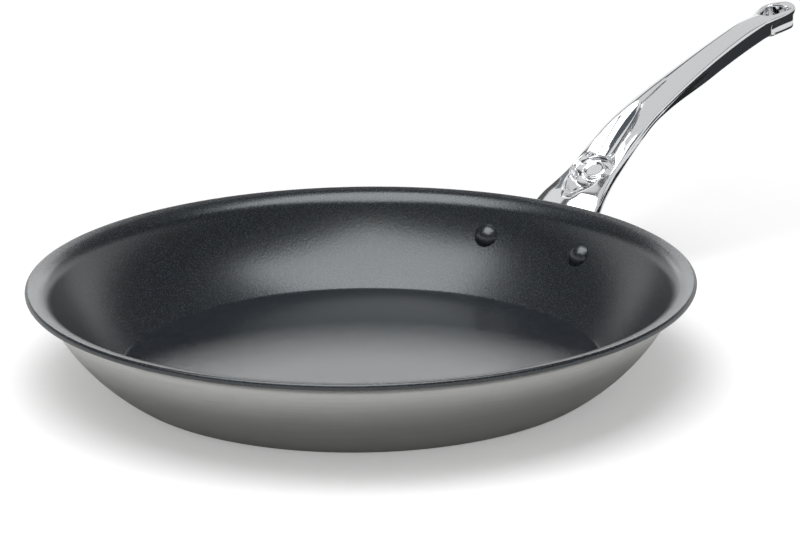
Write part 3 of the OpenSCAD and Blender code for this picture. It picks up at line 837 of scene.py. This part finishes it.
def either(mat, a, b):
    """The larger of two values, so 1 where either of two kinds of ray is meant."""
    return add(mat, "ShaderNodeMath", {0: a, 1: b}, operation="MAXIMUM").outputs[0]


WHITE = (1, 1, 1, 1)
PAPER_LIFT, WHITE_FROM, WHITE_TO, FLOOR_HALF = 0.3, 0.23, 0.38, 3

paper = new_material("white_paper")
rays = add(paper, "ShaderNodeLightPath").outputs
matte = add(paper, "ShaderNodeBsdfDiffuse", {"Color": linear("#E8E8E8")})
lift = add(paper, "ShaderNodeEmission", {"Color": WHITE, "Strength": PAPER_LIFT})
glow = add(paper, "ShaderNodeAddShader", {0: matte.outputs[0], 1: lift.outputs[0]})
near = add(paper, "ShaderNodeMixShader", {0: rays["Is Camera Ray"],
                                          1: matte.outputs[0], 2: glow.outputs[0]})
blank = add(paper, "ShaderNodeEmission", {"Color": WHITE, "Strength": 1})
where = add(paper, "ShaderNodeTexCoord").outputs["Object"]
reach = add(paper, "ShaderNodeVectorMath", {0: where}, operation="LENGTH")
far = span(paper, reach.outputs["Value"], WHITE_FROM, WHITE_TO, 0, 1)
bounced = either(paper, rays["Is Glossy Ray"], rays["Is Transmission Ray"])
direct = either(paper, rays["Is Camera Ray"], bounced)
share = add(paper, "ShaderNodeMath", {0: direct, 1: far}, operation="MULTIPLY")
seen = add(paper, "ShaderNodeMixShader", {0: share.outputs[0],
                                          1: near.outputs[0], 2: blank.outputs[0]})
close(paper, seen)
stage_card("floor", level(-FLOOR_HALF, FLOOR_HALF, -FLOOR_HALF, FLOOR_HALF, 0), paper)
print(f"floor: {2 * FLOOR_HALF} m square, plain white from {WHITE_TO} m out")

# %% [markdown]
# ## Room
#
# The camera sees white. Reflections see a white band from the horizon up to about 20 degrees
# and a dim room above it. Everything else gets a weak even light.

# %% Room
BAND_FROM, BAND_TO, ROOM_DIM, FILL = 0.28, 0.4, 0.12, 0.2

scene = bpy.context.scene
world = bpy.data.worlds.new("studio")
scene.world = world
world.use_nodes = True
world.node_tree.nodes.clear()
rays = add(world, "ShaderNodeLightPath").outputs
towards_sky = add(world, "ShaderNodeTexCoord").outputs["Generated"]
height = add(world, "ShaderNodeSeparateXYZ", {0: towards_sky}).outputs["Z"]
room, fill, white = (
    add(world, "ShaderNodeBackground", {"Color": WHITE, "Strength": strength}).outputs[0]
    for strength in (span(world, height, BAND_FROM, BAND_TO, 1, ROOM_DIM), FILL, 1))
bounced = either(world, rays["Is Glossy Ray"], rays["Is Transmission Ray"])
mirrored = add(world, "ShaderNodeMixShader", {0: bounced, 1: fill, 2: room})
view = add(world, "ShaderNodeMixShader", {0: rays["Is Camera Ray"],
                                          1: mirrored.outputs[0], 2: white})
add(world, "ShaderNodeOutputWorld", {"Surface": view.outputs[0]})
print("room: white band, dim above", BAND_TO)

# %% [markdown]
# ## Lamps and cards
#
# One large softbox hangs over the pan and lights everything. The other four are limited to one
# piece each, as a photographer limits small lights with flags and grids: three put bright
# panels into the polished handle, and one lays a soft light over the lining. Cards give the
# polished steel something dark to mirror. The camera doesn't see them, but reflections do. Two
# small ones hang close above the neck and also cast a shadow. The other three lie on the
# floor, from below the handle outwards, where its flanks mirror them.

# %% Lamps and cards
NECK_PLACE, PAN_PLACE = (0.19, 0.0, 0.06), (0, 0, 0.02)


def towards(azimuth, elevation, distance):
    """The place that the neck of the handle sees in a direction, in metres."""
    a, e = math.radians(azimuth), math.radians(elevation)
    return (NECK_PLACE[0] + distance * math.cos(e) * math.cos(a),
            NECK_PLACE[1] + distance * math.cos(e) * math.sin(a),
            NECK_PLACE[2] + distance * math.sin(e))


def softbox(name, at, aim, size, watts, only=None):
    """A rectangular area lamp turned to face a place, in metres; it may light one piece only."""
    lamp = bpy.data.lights.new(name, "AREA")
    lamp.shape, lamp.size, lamp.size_y, lamp.energy = "RECTANGLE", *size, watts
    box = bpy.data.objects.new(name, lamp)
    scene.collection.objects.link(box)
    away = np.array(at, dtype=float) - np.array(aim, dtype=float)
    box.location = at
    box.rotation_euler = Vector(away).to_track_quat("Z", "Y").to_euler()
    if only:
        group = bpy.data.collections.new(name)
        group.objects.link(only)
        box.light_linking.receiver_collection = group


def flag(name, shade, corners, shadow=False):
    """A plain card that reflections show and the camera doesn't, with four corners in metres."""
    mat = new_material(name)
    close(mat, add(mat, "ShaderNodeEmission", {"Color": linear(shade), "Strength": 1}))
    card = stage_card(name, corners, mat)
    card.visible_camera = card.visible_diffuse = False
    card.visible_shadow = shadow


softbox("side_softbox", towards(-85, 40, 0.9), NECK_PLACE, (0.5, 0.62), 1.8, cast_handle)
softbox("strip_softbox", towards(-8, 52, 1.6), NECK_PLACE, (2.6, 1.5), 8.8, cast_handle)
softbox("left_softbox", towards(80, 45, 1.3), NECK_PLACE, (0.9, 0.5), 1.2, cast_handle)
softbox("back_softbox", (1.43, 1.2, 0.68), PAN_PLACE, (1.1, 0.32), 2.6, lining)
softbox("top_softbox", (-0.15, 0.0, 1.0), (-0.15, 0, 0), (1.0, 0.95), 11.5)

CARD_Z = 0.002
flag("slate_card", "#5E646B", level(0.1856, 0.2107, 0.0075, 0.019, 0.09), shadow=True)
flag("slate_patch", "#8A8F96", level(0.1737, 0.1901, 0.04, 0.0534, 0.08), shadow=True)
flag("dark_floor", "#393B3E", [(0.43, -0.2, CARD_Z), (1.6, -0.9, CARD_Z),
                               (1.6, 0.3, CARD_Z), (0.43, 0.06, CARD_Z)])
flag("dark_neck", "#2A2B2D", level(0.34, 0.43, -0.06, 0.06, CARD_Z))
flag("dark_foot", "#2A2B2D", level(0.24, 0.33, -0.08, -0.01, CARD_Z))
print("lamps:", ", ".join(sorted(lamp.name for lamp in bpy.data.lights)))

# %% [markdown]
# ## Camera
#
# The camera was fitted to the photograph's rim, floor edge, wall outline and handle. It is a
# long lens about 1.2 m away that looks down at 17 degrees.

# %% Camera
camera = bpy.data.objects.new("camera", bpy.data.cameras.new("camera"))
scene.collection.objects.link(camera)
camera.location = (-0.87275, -0.72457, 0.39153)
camera.rotation_euler = [math.radians(v) for v in (72.9986, 0.5729, -51.3171)]
camera.data.sensor_width = 36
camera.data.lens = 124.807
camera.data.clip_end = 50
scene.camera = camera
scene.view_settings.view_transform = "Standard"
print(f"camera: {camera.data.lens:.0f} mm lens")
